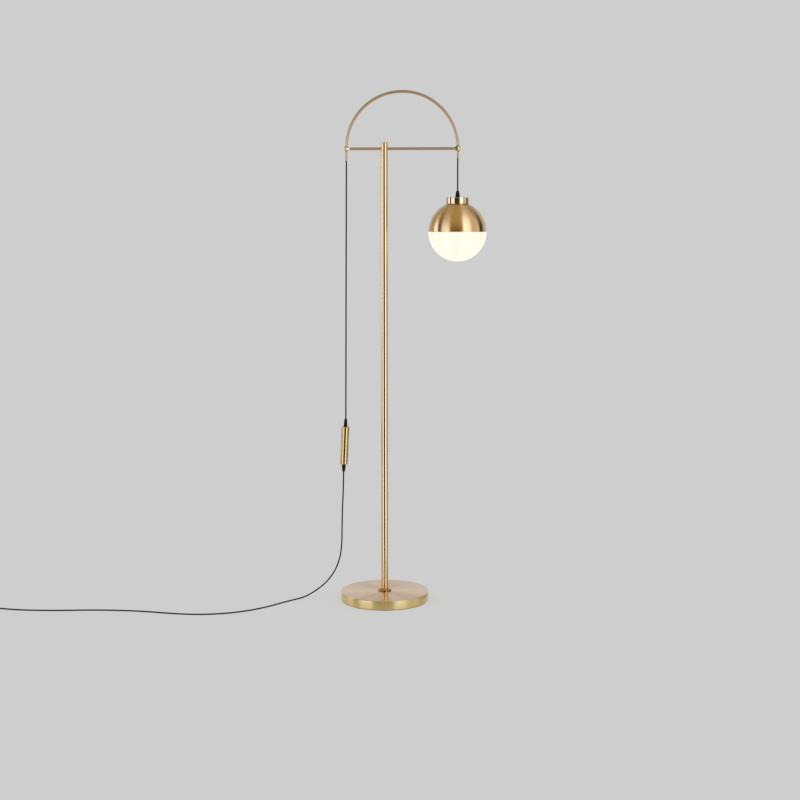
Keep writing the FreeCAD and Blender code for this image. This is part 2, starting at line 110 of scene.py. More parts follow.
def turned(name, outline, loop=True, seg=128, at=(0.0, 0.0, 0.0), axis="Z", matrix=None, steps=5, sharp=35.0, body=None, fluted=None):
    """Solid of revolution about an axis through at (mm). outline is (distance from axis, place along it)."""
    pts = rounded(outline, loop, steps)
    verts, turns, rings, run = [], [], [], 0.0
    for i, (r, z) in enumerate(pts):
        if i:
            run += math.dist(pts[i], pts[i - 1])
        if r < 1e-6:
            rings.append([len(verts)])
            verts.append((0.0, 0.0, z))
            turns.append((0.0, 0.0, run * MM))
            continue
        ring = []
        for k in range(seg):
            a = 2 * math.pi * k / seg
            rr = r if fluted is None else fluted(r, z, a)
            ring.append(len(verts))
            verts.append((rr * math.cos(a), rr * math.sin(a), z))
            turns.append((math.cos(a), math.sin(a), run * MM))
        rings.append(ring)
    faces = []
    pairs = list(zip(rings, rings[1:])) + ([(rings[-1], rings[0])] if loop else [])
    for a, b in pairs:
        if len(a) == 1 and len(b) == 1:
            continue
        for k in range(seg):
            j = (k + 1) % seg
            if len(a) == 1:
                faces.append((a[0], b[k], b[j]))
            elif len(b) == 1:
                faces.append((a[k], a[j], b[0]))
            else:
                faces.append((a[k], a[j], b[j], b[k]))
    m = Matrix.Identity(4) if matrix is None else matrix
    if matrix is None:
        if axis == "X":
            m = Matrix(((0, 0, 1, 0), (1, 0, 0, 0), (0, 1, 0, 0), (0, 0, 0, 1)))
        elif axis == "Y":
            m = Matrix(((0, 1, 0, 0), (0, 0, 1, 0), (1, 0, 0, 0), (0, 0, 0, 1)))
        m = Matrix.Translation(Vector(at)) @ m
    verts = [(m @ Vector(v)) * MM for v in verts]
    return put(name, verts, faces, turns, sharp, body)


def swept(name, line, radius, seg=16, body=None, cap=True, sharp=50.0):
    """Round tube along a line of points in metres, with parallel rings, closed by flat ends when cap is set."""
    P = [Vector(p) for p in line]
    T = []
    for i in range(len(P)):
        a, b = P[max(i - 1, 0)], P[min(i + 1, len(P) - 1)]
        T.append((b - a).normalized())
    ref = Vector((0, 1, 0)) if abs(T[0].y) < 0.9 else Vector((1, 0, 0))
    n = (ref - T[0] * ref.dot(T[0])).normalized()
    verts, turns, rings, run = [], [], [], 0.0
    for i, p in enumerate(P):
        if i:
            run += (P[i] - P[i - 1]).length
            n = (n - T[i] * n.dot(T[i])).normalized()
        b = T[i].cross(n)
        ring = []
        for k in range(seg):
            a = 2 * math.pi * k / seg
            ring.append(len(verts))
            verts.append(p + (n * math.cos(a) + b * math.sin(a)) * radius)
            turns.append((math.cos(a), math.sin(a), run))
        rings.append(ring)
    faces = []
    for a, b in zip(rings, rings[1:]):
        for k in range(seg):
            j = (k + 1) % seg
            faces.append((a[k], a[j], b[j], b[k]))
    if cap:
        for ring, p, s in ((rings[0], P[0], 0.0), (rings[-1], P[-1], run)):
            c = len(verts)
            verts.append(p)
            turns.append((0.0, 0.0, s))
            for k in range(seg):
                faces.append((ring[k], ring[(k + 1) % seg], c))
    return put(name, verts, faces, turns, sharp, body)


def spline_line(name, points, per_run):
    """Points read from a NURBS spline of order 3 whose control points are the route's points, in metres."""
    cu = bpy.data.curves.new(name, "CURVE")
    cu.dimensions = "3D"
    sp = cu.splines.new("NURBS")
    sp.points.add(len(points) - 1)
    for p, c in zip(sp.points, points):
        p.co = (c[0], c[1], c[2], 1.0)
    sp.order_u = 3
    sp.use_endpoint_u = True
    sp.resolution_u = per_run
    cu.resolution_u = per_run
    ob = bpy.data.objects.new(name, cu)
    scene.collection.objects.link(ob)
    bpy.context.view_layer.update()
    me = bpy.data.meshes.new_from_object(ob)
    line = [tuple(v.co) for v in me.vertices]
    bpy.data.objects.remove(ob)
    bpy.data.curves.remove(cu)
    bpy.data.meshes.remove(me)
    keep = [line[0]]
    for p in line[1:]:
        if math.dist(p, keep[-1]) > 1e-5:
            keep.append(p)
    return keep


# ------------------------------------------------------------------ cords
CORD_R = 0.0022

# the globe's cord, pulled straight by its weight
pendant_line = spline_line("pendant_line", [(0.228, 0.0, 1.4), (0.228, 0.0, 1.374), (0.228, 0.0, 1.3262), (0.228, 0.0, 1.2995)], 10)
pendant_cord = swept("lamp_cord_right", pendant_line, CORD_R, seg=20)
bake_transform(pendant_cord)
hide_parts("pendant_cord")

# the straight stretch from the arch's left outlet to the counterweight
left_line = spline_line("left_line", [(-0.1178, 0.0, 1.392), (-0.11798, 0.0, 1.3656), (-0.12307, 0.0, 0.6106), (-0.12325, 0.0, 0.5842)], 24)
left_cord = swept("lamp_cord_left", left_line, CORD_R, seg=20)
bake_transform(left_cord)
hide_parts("left_cord")

# the supply cord: down from the counterweight, along the floor, through the foot switch, round the coil, to the plug
SUPPLY_ROUTE = [
    (-0.13115, 0.0, 0.41453), (-0.1320, -0.0006, 0.3561), (-0.1351, -0.0013, 0.3002), (-0.1367, -0.0006, 0.2432),
    (-0.1376, 0.0015, 0.1880), (-0.1420, 0.0038, 0.1420), (-0.1564, 0.0071, 0.0990), (-0.1748, 0.0087, 0.0683),
    (-0.1995, 0.0079, 0.0412), (-0.2295, 0.0029, 0.0196), (-0.2574, -0.0080, 0.0054),
    (-0.2845, -0.0275, 0.0022), (-0.3154, -0.0639, 0.0022), (-0.3458, -0.1058, 0.0022), (-0.3795, -0.1445, 0.0022),
    (-0.4181, -0.1768, 0.0022), (-0.4610, -0.2020, 0.0022), (-0.5072, -0.2192, 0.0022), (-0.5565, -0.2270, 0.0022),
    (-0.6072, -0.2265, 0.0022), (-0.6550, -0.2195, 0.0022), (-0.7060, -0.2085, 0.0022), (-0.7590, -0.2005, 0.0022),
    (-0.8140, -0.1965, 0.0022), (-0.8680, -0.1965, 0.0022), (-0.9220, -0.2000, 0.0022), (-0.9750, -0.2065, 0.0022),
    (-1.0290, -0.2110, 0.0022), (-1.0820, -0.2125, 0.0022), (-1.1300, -0.2105, 0.0022), (-1.1680, -0.2082, 0.0036),
    (-1.2040, -0.2072, 0.0056), (-1.2400, -0.2070, 0.0062), (-1.2780, -0.2066, 0.0052), (-1.3020, -0.2062, 0.0034),
]
COIL_X, COIL_Y, TURNS, PER_TURN = -1.3220, -0.1762, 5.25, 16
coil = []
for k in range(int(TURNS * PER_TURN) + 1):
    t = k / PER_TURN
    r = 0.0298 - 0.0046 * t if t < 2.5 else 0.0183 + (0.0300 - 0.0183) * max(0.0, t - 2.6) / (TURNS - 2.6)
    rise = min(1.0, max(0.0, (t - 2.2) / 0.7))
    z = 0.0032 + 0.0046 * rise * rise * (3 - 2 * rise)
    a = math.radians(270.0) - 2 * math.pi * t
    r /= math.cos(math.pi / PER_TURN)
    coil.append((COIL_X + r * math.cos(a), COIL_Y + r * math.sin(a), z))
TAIL = [(-1.3517, -0.1552, 0.0076), (-1.3513, -0.1362, 0.0069)]
supply_line = spline_line("supply_line", SUPPLY_ROUTE + coil + TAIL, 8)
supply_cord = swept("supply_cord", supply_line, CORD_R, seg=16)
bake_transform(supply_cord)
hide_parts("supply_cord_hanging", "supply_cord_floor", "cord_coil", "supply_cord_tail")


# ------------------------------------------------------------------ material helpers
def material(name):
    m = bpy.data.materials.new(name)
    m.use_nodes = True
    nt = m.node_tree
    b = nt.nodes["Principled BSDF"]
    return m, nt, b


def node(nt, kind, **values):
    n = nt.nodes.new(kind)
    for k, v in values.items():
        if k in n.inputs:
            n.inputs[k].default_value = v
        else:
            setattr(n, k, v)
    return n


def scaled(nt, vector, scale):
    m = node(nt, "ShaderNodeMapping")
    m.inputs["Scale"].default_value = scale
    nt.links.new(vector, m.inputs["Vector"])
    return m.outputs["Vector"]


def noise(nt, vector, scale, detail=3.0, rough=0.55):
    n = node(nt, "ShaderNodeTexNoise", Scale=scale, Detail=detail, Roughness=rough)
    nt.links.new(vector, n.inputs["Vector"])
    return n.outputs["Fac"]


def spread(nt, value, lo, hi, a=0.3, b=0.7):
    n = node(nt, "ShaderNodeMapRange")
    n.inputs["From Min"].default_value, n.inputs["From Max"].default_value = a, b
    n.inputs["To Min"].default_value, n.inputs["To Max"].default_value = lo, hi
    nt.links.new(value, n.inputs["Value"])
    return n.outputs["Result"]


def math_node(nt, op, a, b):
    n = node(nt, "ShaderNodeMath", operation=op)
    for s, v in zip(n.inputs, (a, b)):
        if isinstance(v, (int, float)):
            s.default_value = v
        else:
            nt.links.new(v, s)
    return n.outputs[0]


def tint(nt, fac, c0, c1):
    n = node(nt, "ShaderNodeMix", data_type="RGBA")
    n.inputs["A"].default_value = (*c0, 1)
    n.inputs["B"].default_value = (*c1, 1)
    for s in n.inputs:
        if s.name == "A" and s.type == "RGBA":
            s.default_value = (*c0, 1)
        if s.name == "B" and s.type == "RGBA":
            s.default_value = (*c1, 1)
    nt.links.new(fac, n.inputs[0])
    return [o for o in n.outputs if o.type == "RGBA"][0]


def bump(nt, b, height, strength, distance):
    n = node(nt, "ShaderNodeBump", Strength=strength, Distance=distance)
    nt.links.new(height, n.inputs["Height"])
    nt.links.new(n.outputs["Normal"], b.inputs["Normal"])


def turn_vector(nt):
    """(cos, sin, run along the outline) of a turned or swept piece."""
    return node(nt, "ShaderNodeAttribute", attribute_name="turn").outputs["Vector"]


def object_vector(nt):
    return node(nt, "ShaderNodeTexCoord").outputs["Object"]


# ------------------------------------------------------------------ brass
BRASS = (0.80, 0.545, 0.255)
BRASS_WARM = (0.86, 0.60, 0.30)
BRASS_DULL = (0.70, 0.47, 0.215)


def brass(name, rough, aniso, lines=0.05, along=9000.0, round_=5.0, coat=0.35, coat_rough=0.06, axis="Z", turned_piece=True, mottle=0.5, depth=0.0000012, warm=BRASS_WARM, dull=BRASS_DULL):
    """Lacquered brass with fine lines from turning or brushing and faint clouds in its colour."""
    m, nt, b = material(name)
    v = turn_vector(nt) if turned_piece else object_vector(nt)
    fine = noise(nt, scaled(nt, v, (round_, round_, along) if turned_piece else (90.0, 90.0, 90.0)), 1.0, 2.0, 0.6)
    band = noise(nt, scaled(nt, v, (round_ * 0.3, round_ * 0.3, along * 0.07) if turned_piece else (14.0, 14.0, 14.0)), 1.0, 2.0, 0.5)
    cloud = noise(nt, object_vector(nt), 11.0, 4.0, 0.6)
    mixed = math_node(nt, "ADD", math_node(nt, "MULTIPLY", fine, 0.35), math_node(nt, "MULTIPLY", cloud, 0.65))
    nt.links.new(tint(nt, spread(nt, mixed, 0.0, 1.0, 0.5 - 0.25 / max(mottle, 0.01), 0.5 + 0.25 / max(mottle, 0.01)), dull, warm), b.inputs["Base Color"])
    b.inputs["Metallic"].default_value = 1.0
    r = math_node(nt, "ADD", spread(nt, fine, -lines, lines, 0.3, 0.7), spread(nt, cloud, rough - lines * 0.5, rough + lines * 0.5, 0.3, 0.7))
    r = math_node(nt, "MAXIMUM", r, 0.03)
    nt.links.new(r, b.inputs["Roughness"])
    b.inputs["Anisotropic"].default_value = aniso
    b.inputs["Anisotropic Rotation"].default_value = 0.25
    if aniso:
        t = node(nt, "ShaderNodeTangent", direction_type="RADIAL", axis=axis)
        nt.links.new(t.outputs["Tangent"], b.inputs["Tangent"])
    b.inputs["Coat Weight"].default_value = coat
    b.inputs["Coat Roughness"].default_value = coat_rough
    b.inputs["Coat IOR"].default_value = 1.5
    bump(nt, b, math_node(nt, "ADD", fine, math_node(nt, "MULTIPLY", band, 0.5)), 0.25, depth)
    return m


brass_dome = brass("spun_brass", 0.33, 0.95, lines=0.02, along=5200.0, coat=0.25, warm=(0.87, 0.585, 0.255), dull=(0.76, 0.495, 0.20))
brass_pole = brass("drawn_brass", 0.155, 1.0, lines=0.004, along=2600.0, round_=14.0, coat=0.12, mottle=0.3, warm=(0.88, 0.60, 0.265), dull=(0.76, 0.505, 0.205))
brass_side = brass("turned_brass_rim", 0.30, 0.85, lines=0.02, along=7000.0, warm=(0.84, 0.64, 0.27), dull=(0.74, 0.555, 0.22))
# painted light: the base's top plate gets a paler, pinker brass colour than the rim, standing in for the pale
# reflection its top shows
brass_top_painted_light = brass("turned_brass_plate", 0.285, 1.0, lines=0.01, along=5200.0, coat=0.6, coat_rough=0.05, warm=(0.99, 0.72, 0.46), dull=(0.93, 0.66, 0.41))
brass_collar = brass("polished_brass_collar", 0.13, 0.5, lines=0.01, along=7000.0, coat=0.4, coat_rough=0.03)
brass_weight = brass("satin_brass_barrel", 0.165, 1.0, lines=0.004, along=7000.0, coat=0.05, mottle=0.3, warm=(0.71, 0.475, 0.175), dull=(0.60, 0.39, 0.135))
brass_rod = brass("drawn_brass_rod", 0.20, 0.0, lines=0.008, mottle=0.3, along=1800.0, round_=16.0, coat=0.0, warm=(0.62, 0.45, 0.26), dull=(0.52, 0.375, 0.215))
brass_rod.node_tree.nodes["Principled BSDF"].inputs["Metallic"].default_value = 0.2
brass_flange = brass("polished_brass_flange", 0.16, 0.5, lines=0.01, along=7000.0, coat=0.15, coat_rough=0.04, warm=(0.72, 0.46, 0.19), dull=(0.60, 0.37, 0.14))
# painted shade: the flange's lower rim gets a dark brown brass colour standing in for the shade on its outer edge
brass_flange_painted_shade = brass("polished_brass_flange_edge", 0.18, 0.5, lines=0.01, along=7000.0, coat=0.1, coat_rough=0.05, warm=(0.42, 0.235, 0.085), dull=(0.32, 0.175, 0.06))
brass_knob = brass("polished_brass_knob", 0.14, 0.4, lines=0.01, along=9000.0, axis="X", warm=(0.74, 0.54, 0.28), dull=(0.58, 0.41, 0.20))

# painted light and shade: the bow's colour is painted darkest over its top and paler towards its legs, standing in for
# how its reflections brighten towards the legs
brass_bow = brass("drawn_brass_bow", 0.20, 0.0, lines=0.008, mottle=0.3, along=1800.0, round_=16.0, coat=0.0, warm=(0.62, 0.42, 0.225), dull=(0.52, 0.35, 0.185))
brass_bow.node_tree.nodes["Principled BSDF"].inputs["Metallic"].default_value = 0.2
nt = brass_bow.node_tree
lit = nt.nodes["Principled BSDF"].inputs["Base Color"]
shade = node(nt, "ShaderNodeMix", data_type="RGBA")
run = node(nt, "ShaderNodeSeparateXYZ")
nt.links.new(object_vector(nt), run.inputs[0])
nt.links.new(spread(nt, run.outputs["Z"], 0.9, 0.0, 1.455, 1.56), shade.inputs[0])
nt.links.new(lit.links[0].from_socket, shade.inputs[6])
shade.inputs[7].default_value = (0.79, 0.56, 0.33, 1)
nt.links.new(shade.outputs[2], lit)

# painted shade: the dome's colour is darkened just under its collar, where the collar's shade falls
nt = brass_dome.node_tree
lit = nt.nodes["Principled BSDF"].inputs["Base Color"]
shade = node(nt, "ShaderNodeMix", data_type="RGBA")
run = node(nt, "ShaderNodeSeparateXYZ")
nt.links.new(turn_vector(nt), run.inputs[0])
nt.links.new(spread(nt, run.outputs["Z"], 0.0, 1.0, 0.0945, 0.1075), shade.inputs[0])
nt.links.new(lit.links[0].from_socket, shade.inputs[6])
shade.inputs[7].default_value = (0.56, 0.36, 0.135, 1)
nt.links.new(shade.outputs[2], lit)

# ------------------------------------------------------------------ turned metal, from the floor up
shell = turned("base_shell", [
    (138.75, 1.8), (139.85, 1.8), (140.25, 2.25), (140.25, 29.0, 1.1), (5.25, 29.0), (5.25, 27.0), (138.75, 27.0)], seg=256, sharp=25, body="stand")
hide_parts("base_cover")
shell.data.materials.append(brass_side)
shell.data.materials.append(brass_top_painted_light)
# the upward faces of the top plate take the painted-light brass
for p in shell.data.polygons:
    if p.center.z > 0.0288 and abs(p.normal.z) > 0.9:
        p.material_index = 1

flange = turned("foot_flange", [
    (5.25, 29.0), (19.4, 29.0), (20.6, 29.5, 0.6), (21.0, 30.9, 1.2), (21.0, 32.3, 1.2), (20.1, 33.6, 1.4), (17.9, 34.7, 4.0), (15.0, 36.2, 4.0), (13.0, 37.9, 3.0),
    (12.1, 39.3, 0.8), (11.6, 39.8, 0.2), (11.05, 39.8), (11.05, 33.0), (5.25, 33.0)], seg=128, steps=6, sharp=40, body="stand")
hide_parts("pole_flange")
flange.data.materials.append(brass_flange)
flange.data.materials.append(brass_flange_painted_shade)
# the flange's lower rim takes the painted-shade colour
for p in flange.data.polygons:
    if p.center.z < 0.0339:
        p.material_index = 1

pole = turned("pole_shaft", [
    (10.0, 33.0), (10.75, 33.0), (11.0, 33.25)] + [(11.0, 33.25 + (1445.75 - 33.25) * k / 24.0) for k in range(1, 24)] + [
    (11.0, 1445.75), (10.8, 1446.0), (10.0, 1446.0)], seg=96, body="stand")
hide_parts("pole_tube")
pole.data.materials.append(brass_pole)

cap = turned("pole_top_cap", [
    (0, 1444.0), (10.0, 1444.0), (10.0, 1446.0), (10.8, 1446.0), (11.0, 1446.2), (11.0, 1448.7, 1.0), (0, 1448.7)], loop=False, seg=96, body="stand")
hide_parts("pole_cap")
cap.data.materials.append(brass_pole)

# crossbar, knobs and arch
LX, RX, BZ, AZ = -117.8, 228.0, 1429.0, 1430.2
bar = turned("cross_rod", [(3.5, LX + 15.2), (4.2, LX + 15.2), (4.5, LX + 15.5), (4.5, -11.0), (4.5, 11.0), (4.5, RX - 15.5), (4.2, RX - 15.2), (3.5, RX - 15.2)],
             loop=True, seg=48, at=(0, 0, BZ), axis="X", body="stand")
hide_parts("crossbar")
bar.data.materials.append(brass_rod)

KNOB_OUTLINE = {
    "left": [(0, 5.2), (6.6, 5.2, 0.8), (8.0, 4.2, 1.6), (8.6, 1.2, 3.0), (8.3, -1.2, 3.0), (5.6, -7.4, 6.0), (4.1, -10.2, 3.0), (3.5, -11.6, 0.8), (3.5, -20.0), (0, -20.0)],
    "right": [(0, 7.0), (7.2, 7.0, 0.8), (9.6, 5.0, 2.2), (10.7, 1.2, 2.2), (10.4, -1.2, 1.2), (5.6, -8.2, 8.0), (4.2, -10.6, 3.0), (3.5, -11.9, 0.8), (3.5, -20.0), (0, -20.0)]}
for side, x, way in (("left", LX, -1.0), ("right", RX, 1.0)):
    prof = KNOB_OUTLINE[side]
    knob = turned("knob_" + side + "_turned", [(p[0], way * p[1], *p[2:]) for p in prof], loop=False, seg=72, at=(x, 0, BZ), axis="X", sharp=30, body="stand")
    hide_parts("knob_" + side)
    knob.data.materials.append(brass_knob)
    end = 1393.5 if side == "left" else 1401.8
    pipe = turned("outlet_" + side + "_pipe", [(3.1, end), (3.35, end), (3.5, end + 0.2), (3.5, 1425.0), (3.5, 1432.0), (3.1, 1432.0)], seg=40, at=(x, 0, 0), body="stand")
    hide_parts("outlet_tube_" + side)
    pipe.data.materials.append(brass_bow)

arch_path = [(LX, 0, 1418.5), (LX, 0, 1422.0), (LX, 0, 1426.0)]
ax, ar = (LX + RX) / 2, (RX - LX) / 2
for k in range(0, 161):
    a = math.pi * (1 - k / 160.0)
    arch_path.append((ax + ar * math.cos(a), 0, AZ + ar * math.sin(a)))
arch_path += [(RX, 0, 1426.0), (RX, 0, 1422.0), (RX, 0, 1418.5)]
arch = swept("arch_bow", [tuple(c * MM for c in p) for p in arch_path], 0.0045, seg=40, body="stand", sharp=50)
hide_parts("arch_tube")
arch.data.materials.append(brass_bow)

# globe
PX = 228.0
collar = turned("collar_ring", [
    (5.2, 1279.2), (34.2, 1279.2), (35.15, 1278.4, 0.3), (35.15, 1259.9, 0.2), (34.7, 1259.2), (33.65, 1259.2), (33.65, 1277.2), (5.2, 1277.2)], seg=160, at=(PX, 0, 0), sharp=30, body="pendant")
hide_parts("shade_collar")
collar.data.materials.append(brass_collar)

R, CZ, SEAM = 89.7, 1176.0, 1173.3
outer, inner = [], []
a0 = math.asin((SEAM + 1.5 - CZ) / R)
a1 = math.acos(5.6 / R)
for k in range(0, 61):
    a = a0 + (a1 - a0) * k / 60.0
    outer.append((R * math.cos(a), CZ + R * math.sin(a)))
b0, b1 = math.asin((SEAM + 1.5 - CZ) / (R - 1.0)), math.acos(5.6 / (R - 1.0))
for k in range(0, 61):
    a = b1 + (b0 - b1) * k / 60.0
    inner.append(((R - 1.0) * math.cos(a), CZ + (R - 1.0) * math.sin(a)))
dome = turned("dome_shell", [(88.75, SEAM + 0.1), (89.55, SEAM), (89.72, SEAM + 0.35), (89.72, SEAM + 1.15), (89.6, SEAM + 1.4)] + outer + inner, seg=192, at=(PX, 0, 0), sharp=45, body="pendant")
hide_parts("shade_dome")
dome.data.materials.append(brass_dome)

GR, GZ = 90.2, 1172.3
outer, inner = [], []
g0 = math.asin((SEAM - 0.7 - GZ) / GR)
for k in range(0, 73):
    a = g0 + (-math.pi / 2 - g0) * k / 72.0
    outer.append((max(GR * math.cos(a), 0.0) if k < 72 else 0.0, GZ + GR * math.sin(a)))
for k in range(0, 49):
    a = -math.pi / 2 + (math.asin((SEAM - 4.0 - GZ) / (GR - 3.0)) + math.pi / 2) * k / 48.0
    inner.append(((GR - 3.0) * math.cos(a) if k else 0.0, GZ + (GR - 3.0) * math.sin(a)))
bowl = turned("opal_bowl", [(82.6, 1186.0), (85.2, 1186.0), (85.6, 1185.6), (85.6, SEAM + 0.5), (86.2, SEAM), (89.5, SEAM)] + outer + inner + [(82.9, SEAM - 2.0)],
              loop=True, seg=160, at=(PX, 0, 0), sharp=40, body="pendant")
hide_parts("glass_bowl")

GT = 1279.2


def grip_outline(table):
    """Moulded cord relief standing on z 0: a plain foot, a bullet-shaped body with four shallow grooves, a rounded tip."""
    rs, zs = [p[0] for p in table], [p[1] for p in table]
    long = zs[-1]
    out = [(2.25, 0.0), (rs[0] - 0.3, 0.0), (rs[0], 0.3), (rs[0], 1.25), (rs[0] - 0.22, 1.5)]
    z = 2.2
    while z < long * 0.86:
        turn = (z - long * 0.30) / (long * 0.095)
        dip = 0.24 * max(0.0, 1.0 - abs(turn - round(turn)) * 3.2) if -0.4 < turn < 3.4 else 0.0
        out.append((float(np.interp(z, zs, rs)) - dip, z))
        z += 0.22
    for k in range(10):
        a = math.radians(9.0 * (k + 1))
        z = long * 0.86 + long * 0.14 * math.sin(a)
        r0 = float(np.interp(long * 0.86, zs, rs))
        out.append((rs[-1] - 0.35 + (r0 - rs[-1] + 0.35) * math.cos(a) ** 0.8, z))
    out.append((2.25, long))
    return out


TOP_GLAND = [(5.8, 0), (5.8, 1.5), (5.65, 6), (5.3, 12), (4.8, 17.5), (4.35, 21.0), (3.8, 23.4), (3.0, 24.7)]
BOTTOM_GLAND = [(6.4, 0), (6.4, 1.5), (6.2, 6), (5.9, 11), (5.5, 15.5), (4.9, 19.5), (4.2, 22.6), (3.3, 24.7)]
PENDANT_GLAND = [(7.2, 0), (7.2, 1.4), (6.95, 5), (6.3, 10), (5.5, 14.2), (4.6, 17.4), (3.8, 19.3), (3.0, 20.3)]
pg = turned("cord_grip", [(r, GT + z) for r, z in grip_outline(PENDANT_GLAND)], seg=72, at=(PX, 0, 0), sharp=40, body="pendant")
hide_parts("pendant_gland")

# counterweight, leaned a little along the cord
top, bottom = Vector((-124.4, 0.0, 559.5)), Vector((-130.0, 0.0, 439.2))
L = (top - bottom).length
lean = Matrix.Translation(bottom) @ Matrix.Rotation(math.atan2(top.x - bottom.x, top.z - bottom.z), 4, "Y")
barrel = turned("weight_barrel", [(10.9, 0.0), (11.4, 0.0, 0.2), (12.4, 1.0, 0.7)] + [(12.4, L * k / 8.0) for k in range(1, 8)] + [(12.4, L - 1.0, 0.7), (11.4, L, 0.2), (10.9, L)],
                seg=96, matrix=lean, body="counterweight")
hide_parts("weight_tube")
barrel.data.materials.append(brass_weight)
for end, z0, z1 in (("bottom", 0.0, 4.0), ("top", L - 4.0, L)):
    o = turned("weight_end_" + end, [(2.25, z0), (10.5, z0), (10.8, z0 + 0.3), (10.8, z1 - 0.3), (10.5, z1), (2.25, z1)], seg=72, matrix=lean, body="counterweight")
    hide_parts("weight_cap_" + end)
    o.data.materials.append(brass_weight)
gt = turned("weight_grip_top", [(r, L + z) for r, z in grip_outline(TOP_GLAND)], seg=64, matrix=lean, sharp=40, body="counterweight")
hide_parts("weight_gland_top")
gb = turned("weight_grip_bottom", [(r, -z) for r, z in grip_outline(BOTTOM_GLAND)], seg=64, matrix=lean, sharp=40, body="counterweight")
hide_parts("weight_gland_bottom")

# ------------------------------------------------------------------ other materials
m, nt, b = material("opal_glass_lit")
v = object_vector(nt)
veil = noise(nt, v, 24.0, 3.0, 0.5)
nt.links.new(tint(nt, spread(nt, veil, 0.0, 1.0), (0.80, 0.77, 0.70), (0.84, 0.82, 0.76)), b.inputs["Base Color"])
nt.links.new(spread(nt, noise(nt, v, 180.0, 2.0), 0.10, 0.17), b.inputs["Roughness"])
b.inputs["IOR"].default_value = 1.5
b.inputs["Specular IOR Level"].default_value = 0.25
b.inputs["Emission Color"].default_value = (1.0, 0.915, 0.70, 1.0)
b.inputs["Emission Strength"].default_value = 0.55
bump(nt, b, noise(nt, v, 38.0, 2.0, 0.4), 0.12, 0.0004)
bowl.data.materials.append(m)
OPAL = m

m, nt, b = material("black_grip_rubber")
v = object_vector(nt)
grain = noise(nt, v, 2600.0, 2.0, 0.6)
nt.links.new(tint(nt, spread(nt, noise(nt, v, 90.0, 3.0), 0.0, 1.0), (0.0065, 0.006, 0.0055), (0.012, 0.011, 0.0105)), b.inputs["Base Color"])
nt.links.new(spread(nt, grain, 0.46, 0.62), b.inputs["Roughness"])
b.inputs["Specular IOR Level"].default_value = 0.14
bump(nt, b, grain, 0.2, 0.00004)
for o in (pg, gt, gb):
    o.data.materials.append(m)
GRIP = m

m, nt, b = material("cord_sheath_pvc")
v = turn_vector(nt)
lines = noise(nt, scaled(nt, v, (5.0, 5.0, 60.0)), 1.0, 3.0, 0.6)
fine = noise(nt, scaled(nt, v, (3.0, 3.0, 2200.0)), 1.0, 2.0, 0.5)
nt.links.new(tint(nt, spread(nt, lines, 0.0, 1.0), (0.0095, 0.009, 0.0085), (0.018, 0.017, 0.016)), b.inputs["Base Color"])
nt.links.new(spread(nt, fine, 0.48, 0.64), b.inputs["Roughness"])
b.inputs["Specular IOR Level"].default_value = 0.2
bump(nt, b, math_node(nt, "ADD", fine, lines), 0.25, 0.00003)
for o in (pendant_cord, left_cord, supply_cord):
    o.data.materials.append(m)
SHEATH = m


def plain_grain(name, c0, c1, r0, r1, scale, depth, metallic=0.0, cloud=40.0, strength=0.3):
    m, nt, b = material(name)
    v = object_vector(nt)
    g = noise(nt, v, scale, 3.0, 0.6)
    nt.links.new(tint(nt, spread(nt, noise(nt, v, cloud, 4.0, 0.6), 0.0, 1.0), c0, c1), b.inputs["Base Color"])
    nt.links.new(spread(nt, g, r0, r1), b.inputs["Roughness"])
    b.inputs["Metallic"].default_value = metallic
    bump(nt, b, g, strength, depth)
    return m


steel = plain_grain("zinc_plated_steel", (0.48, 0.49, 0.50), (0.60, 0.60, 0.58), 0.26, 0.42, 900.0, 0.00003, 1.0)
iron = plain_grain("raw_cast_iron", (0.055, 0.053, 0.052), (0.11, 0.105, 0.10), 0.60, 0.85, 420.0, 0.0005, 0.6, 30.0, 0.8)
felt = plain_grain("black_felt", (0.020, 0.020, 0.021), (0.050, 0.049, 0.050), 0.85, 1.0, 1500.0, 0.0006, 0.0, 260.0, 0.9)
black = plain_grain("black_moulding", (0.014, 0.014, 0.015), (0.022, 0.022, 0.022), 0.38, 0.55, 1900.0, 0.00006)
gloss = plain_grain("button_moulding", (0.022, 0.022, 0.024), (0.034, 0.034, 0.036), 0.14, 0.24, 1200.0, 0.00002)
ivory = plain_grain("ivory_bush", (0.60, 0.575, 0.50), (0.70, 0.68, 0.61), 0.35, 0.50, 1500.0, 0.00003)
holder = plain_grain("holder_thermoset", (0.64, 0.61, 0.55), (0.74, 0.72, 0.66), 0.30, 0.46, 800.0, 0.00004)
frosted = plain_grain("frosted_bulb", (0.86, 0.85, 0.81), (0.92, 0.91, 0.88), 0.30, 0.45, 1200.0, 0.00002)

SLOTS = {"steel": steel, "cast_iron": iron, "felt": felt, "black_plastic": black, "button_plastic": gloss, "ivory_plastic": ivory,
         "holder_plastic": holder, "bulb_glass": frosted, "cord_sheath": plain_grain("cord_sheath_inner", (0.026, 0.026, 0.027), (0.044, 0.043, 0.043), 0.42, 0.6, 1400.0, 0.00003),
         "satin_brass": brass("satin_brass_plain", 0.3, 0.0, turned_piece=False), "polished_brass": brass("polished_brass_plain", 0.16, 0.0, turned_piece=False),
         "opal_glass": OPAL}
for name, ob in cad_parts.items():
    if ob.hide_render:
        continue
    for s in ob.material_slots:
        key = s.material.name.split(".")[0] if s.material else "steel"
        s.material = SLOTS.get(key, steel)

